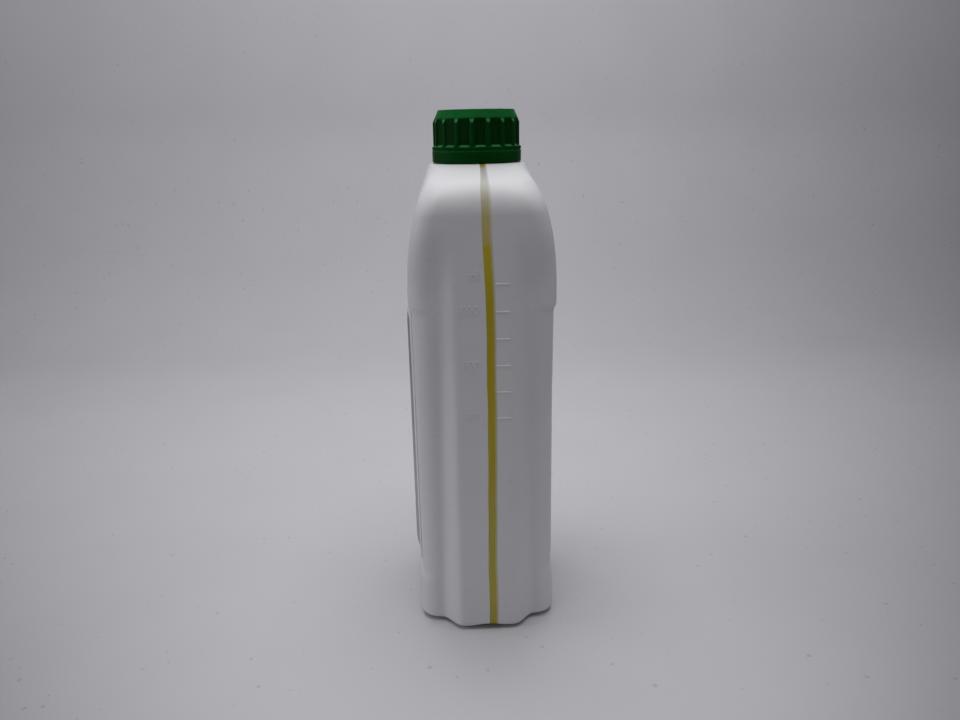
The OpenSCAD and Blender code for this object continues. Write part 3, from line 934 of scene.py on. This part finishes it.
def cap_plastic():
    material, tree = new_material("cap_plastic", Roughness=0.42, Specular_IOR_Level=0.035)
    x, y, z, vector = place(tree)
    angle = calc(tree, "ARCTAN2", y, x)
    radius = length(tree, x, y)
    grip = between(tree, z, (LEDGE_TOP + 1) * MM, CONE_FOOT * MM)
    hollow = fall(tree, radius, (GROOVE_R + 0.05) * MM, (GROOVE_R + 0.4) * MM)
    groove = calc(tree, "MULTIPLY", grip, hollow)
    to_rib = calc(tree, "COSINE", calc(tree, "MULTIPLY_ADD", angle, RIBS, -RIBS * RIB_TURN))
    # Painted highlight on the upward floors of the grooves at the ledge.
    ledge = between(tree, z, (LEDGE_TOP - 0.1) * MM, (LEDGE_TOP + 0.75) * MM, 0.00012)
    floors = calc(tree, "MULTIPLY", ledge, fall(tree, to_rib, -0.1, 0.55))
    # Painted light on the tamper band's top edge and, below, on the cone's slope.
    edges = between(tree, z, (CAP_Z - 0.5) * MM, (CAP_Z - 0.02) * MM)
    up_cone = calc(tree, "SUBTRACT", z, CONE_Z * MM)
    slope = calc(tree, "ADD", radius, calc(tree, "MULTIPLY", up_cone, CONE_LEAN))
    lit = calc(tree, "MAXIMUM", edges, step(tree, slope, (CAP_R - 0.25) * MM, (CAP_R - 0.08) * MM))
    # Painted highlight on the ribs' heads under the cone.
    ribs_only = calc(tree, "MULTIPLY", fall(tree, z, (CONE_FOOT - 0.2) * MM, CONE_FOOT * MM),
                     step(tree, radius, (GROOVE_R + 0.15) * MM, (GROOVE_R + 0.45) * MM))
    heads = calc(tree, "MAXIMUM", floors, calc(tree, "MULTIPLY", lit, calc(tree, "MULTIPLY", ribs_only,
                 step(tree, z, (CONE_Z - 1) * MM, CONE_Z * MM))))
    lines = calc(tree, "SINE", calc(tree, "MULTIPLY", angle, RIBS * LINES_PER_RIB))
    tone = blend(tree, heads, blend(tree, lit, GREEN, PAINTED_LIT_GREEN), PAINTED_HIGHLIGHT_GREEN)
    # Painted shade: the grooves are darkened towards black.
    tone = blend(tree, calc(tree, "MULTIPLY", groove, GROOVE_SHADE), tone, (0, 0, 0))
    streaks = calc(tree, "MULTIPLY_ADD", calc(tree, "MULTIPLY", lines, groove), 0.5, 1)
    clouds = calc(tree, "MULTIPLY_ADD", noise(tree, vector, 130, 3), 0.5, 0.75)
    tone = blend(tree, calc(tree, "MULTIPLY", streaks, clouds), (0, 0, 0), tone)
    feed(tree, tree.nodes["Principled BSDF"].inputs["Base Color"], tone)
    height = calc(tree, "MULTIPLY", calc(tree, "MULTIPLY", lines, groove), LINE_H)
    grain = calc(tree, "MULTIPLY", noise(tree, vector, 1400, 2), GRAIN_H)
    raise_surface(tree, calc(tree, "ADD", height, grain))
    return material


green = cap_plastic()
for piece in (cap, band):
    piece.data.materials.append(green)
print("cap green", GREEN)

# %% [markdown]
# ## Liquid, sealing disc and label film
#
# The liquid is clear and strongly coloured. The disc is foamed sheet with fine cells. The film is
# pale, with a dark round-cornered field in its middle that carries a ring and a bar of colour.

# %% Liquid and disc
def antifreeze_liquid():
    material, tree = new_material("antifreeze_liquid", Roughness=0.08, IOR=1.38, Transmission_Weight=0.55)
    x, y, z, vector = place(tree)
    depth = step(tree, z, 0, liquid_level)
    feed(tree, tree.nodes["Principled BSDF"].inputs["Base Color"],
         blend(tree, depth, (0.66, 0.56, 0.015), (0.74, 0.64, 0.02)))
    return material


def liner_foam():
    material, tree = new_material("liner_foam", Roughness=0.8)
    x, y, z, vector = place(tree)
    cells = noise(tree, vector, 2500, 1)
    feed(tree, tree.nodes["Principled BSDF"].inputs["Base Color"],
         blend(tree, cells, (0.78, 0.78, 0.74), (0.86, 0.86, 0.83)))
    raise_surface(tree, calc(tree, "MULTIPLY", cells, 0.00003))
    return material


for node_name, material in (("antifreeze", antifreeze_liquid()), ("cap_liner", liner_foam())):
    mesh = frame["nodes"][node_name].data
    mesh.materials.clear()
    mesh.materials.append(material)
    print(node_name, "dressed as", material.name)

# %% Label film
FILM = (0.6, 0.6, 0.615)
FIELD_DARK = (0.05, 0.055, 0.08)
FIELD_SHEEN_GREY = (0.17, 0.175, 0.20)     # painted sheen of the film at a grazing angle: the field pales towards the foot
FIELD_GREEN = (0.02, 0.22, 0.06)
FIELD_YELLOW = (0.62, 0.5, 0.03)
EDGE_GREY = (0.37, 0.42, 0.38)
FIELD_MARGIN = 3                      # millimetres above and below the field
FIELD_HALF, FIELD_ROUND = 0.0185, 0.004
BAR_HALF, BAR_LOW, BAR_HIGH, BAR_ROUND = 0.0085, 0.02, 0.026, 0.003
RING_R, RING_HOLE = 0.0095, 0.0055
EDGE_LINE_X, EDGE_LINE_HALF = 0.0245, 0.0006


def inside(tree, value, edge):
    """1 where the value lies below an edge, as crisp as print."""
    return fall(tree, value, edge - 0.0001, edge + 0.0001)


def panel(tree, x, z, half, low, high, corner):
    """1 inside an upright field with round corners."""
    past_x = calc(tree, "MAXIMUM", calc(tree, "SUBTRACT", calc(tree, "ABSOLUTE", x), half - corner), 0)
    from_middle = calc(tree, "ABSOLUTE", calc(tree, "SUBTRACT", z, (low + high) / 2))
    past_z = calc(tree, "MAXIMUM", calc(tree, "SUBTRACT", from_middle, (high - low) / 2 - corner), 0)
    return inside(tree, length(tree, past_x, past_z), corner)


def label_film():
    material, tree = new_material("label_film", Roughness=0.34, IOR=1.5)
    x, y, z, vector = place(tree)
    low, high = (LABEL_Z + FIELD_MARGIN) * MM, (LABEL_Z + LABEL_H - FIELD_MARGIN) * MM
    middle = low + 0.66 * (high - low)
    field = panel(tree, x, z, FIELD_HALF, low, high, FIELD_ROUND)
    bar = panel(tree, x, z, BAR_HALF, low + BAR_LOW, low + BAR_HIGH, BAR_ROUND)
    edge_line = calc(tree, "COMPARE", calc(tree, "ABSOLUTE", x), EDGE_LINE_X, EDGE_LINE_HALF)
    from_middle = length(tree, x, calc(tree, "SUBTRACT", z, middle))
    # Painted sheen: the dark field turns grey towards the foot.
    ground = blend(tree, step(tree, z, 0.06, 0.14), FIELD_SHEEN_GREY, FIELD_DARK)
    print_colour = blend(tree, inside(tree, from_middle, RING_R), ground, FIELD_GREEN)
    print_colour = blend(tree, inside(tree, from_middle, RING_HOLE), print_colour, FILM)
    print_colour = blend(tree, bar, print_colour, FIELD_YELLOW)
    colour = blend(tree, edge_line, FILM, EDGE_GREY)
    colour = blend(tree, field, colour, print_colour)
    feed(tree, tree.nodes["Principled BSDF"].inputs["Base Color"], colour)
    raise_surface(tree, calc(tree, "MULTIPLY", noise(tree, vector, 700, 1), 0.000006))
    return material


film = label_film()
for piece in (front, back):
    piece.data.materials.append(film)
print("label", round(LABEL_W, 1), "by", round(LABEL_H, 1), "mm")

# %% [markdown]
# ## Floor, backdrop and light
#
# The bottle stands on pale paper that sweeps up behind it. A wide softbox hangs straight above, so the
# shoulder is bright, and the narrow side has only what the paper and the room send back. The fall-off of the
# light over the paper, to its sides, its back and its left, is painted into its colour.

# %% Paper sweep
PAPER = (0.505, 0.497, 0.526)
FAR_SHADE = 0.14      # painted shade: the floor darkens towards the back
WALL_LIFT = 0.25      # painted light: the upright part is lighter again
LEFT_SHADE = 0.1      # painted shade: the upright part is a little darker to the left
FADE_FROM = 0.385     # metres: painted fall-off of the light, darker to the sides with the angle from this point on the X axis
FADE = 0.82


def paper():
    """Smooth paper with painted fall-off of the light, darker to the sides and the back, with faint clouds
    and a few specks of dust.
    """
    material, tree = new_material("paper", Roughness=0.85)
    x, y, z, vector = place(tree)
    reach = calc(tree, "MAXIMUM", calc(tree, "SUBTRACT", FADE_FROM, x), 0.2)
    aside = calc(tree, "POWER", calc(tree, "ADD", calc(tree, "DIVIDE", y, reach), 0.02), 2)
    fade = calc(tree, "MAXIMUM", calc(tree, "SUBTRACT", 1, calc(tree, "MULTIPLY", aside, FADE)), 0.55)
    far = calc(tree, "MULTIPLY_ADD", step(tree, x, -0.7, -0.2), FAR_SHADE, 1 - FAR_SHADE)
    lift = calc(tree, "MULTIPLY", far, calc(tree, "MULTIPLY_ADD", step(tree, z, 0.05, 0.26), WALL_LIFT, 1))
    beside = calc(tree, "MULTIPLY", step(tree, z, 0.02, 0.2), LEFT_SHADE)
    shade = calc(tree, "MULTIPLY", beside, fall(tree, y, -0.5, 0.35))
    lift = calc(tree, "MULTIPLY", lift, calc(tree, "SUBTRACT", 1, shade))
    clouds = calc(tree, "MULTIPLY_ADD", noise(tree, vector, 14, 4), 0.07, 0.965)
    dust = step(tree, noise(tree, vector, 260, 0), 0.79, 0.85)
    specks = calc(tree, "SUBTRACT", 1, calc(tree, "MULTIPLY", dust, 0.2))
    level = calc(tree, "MULTIPLY", calc(tree, "MULTIPLY", fade, lift), calc(tree, "MULTIPLY", clouds, specks))
    feed(tree, tree.nodes["Principled BSDF"].inputs["Base Color"], blend(tree, level, (0, 0, 0), PAPER))
    return material


def sweep():
    """The paper: flat under the bottle, bent up behind it. Lengths in millimetres."""
    half, start, bend, rise, radius = 2200, 1400, -700, 1600, 260
    line = [(start, 0), (400, 0), (0, 0), (bend + radius, 0)]
    line += [(bend + radius - radius * math.sin(t), radius * (1 - math.cos(t)))
             for t in np.linspace(0.1, math.pi / 2, 16)]
    line += [(bend, rise)]
    points = [(x * MM, y * MM, z * MM) for x, z in line for y in (-half, half)]
    faces = [(2 * k, 2 * k + 1, 2 * k + 3, 2 * k + 2) for k in range(len(line) - 1)]
    mesh = bpy.data.meshes.new("paper_sweep")
    mesh.from_pydata(points, [], faces)
    for face in mesh.polygons:
        face.use_smooth = True
    mesh.materials.append(paper())
    piece = bpy.data.objects.new("paper_sweep", mesh)
    bpy.context.scene.collection.objects.link(piece)
    return piece


floor = sweep()
print("sweep of", len(floor.data.polygons), "faces")


# %% Lamps and world
ROOM = (0.257, 0.257, 0.267)     # what the room sends back from all sides


def softbox(name, place_mm, aim_mm, size_mm, power):
    """A rectangular lamp at a place, turned to its aim. Power in watts."""
    data = bpy.data.lights.new(name, "AREA")
    data.shape = "RECTANGLE"
    data.size, data.size_y = size_mm[0] * MM, size_mm[1] * MM
    data.energy = power
    lamp = bpy.data.objects.new(name, data)
    lamp.location = Vector(place_mm) * MM
    lamp.rotation_euler = (Vector(aim_mm) * MM - lamp.location).to_track_quat("-Z", "Y").to_euler()
    bpy.context.scene.collection.objects.link(lamp)
    return lamp


softbox("top_light", (-95, 0, 1100), (0, 0, 0), (700, 900), 8.7)
softbox("left_light", (0, -1000, 420), (0, 0, 120), (600, 600), 2.2)
softbox("right_light", (0, 1000, 420), (0, 0, 120), (600, 600), 0.4)

world = bpy.data.worlds.new("room")
world.use_nodes = True
world.node_tree.nodes["Background"].inputs["Color"].default_value = (*ROOM, 1)
world.node_tree.nodes["Background"].inputs["Strength"].default_value = 1
bpy.context.scene.world = world
bpy.context.scene.view_settings.view_transform = "Standard"
print("lamps:", [(lamp.name, round(lamp.energy, 1)) for lamp in bpy.data.lights])
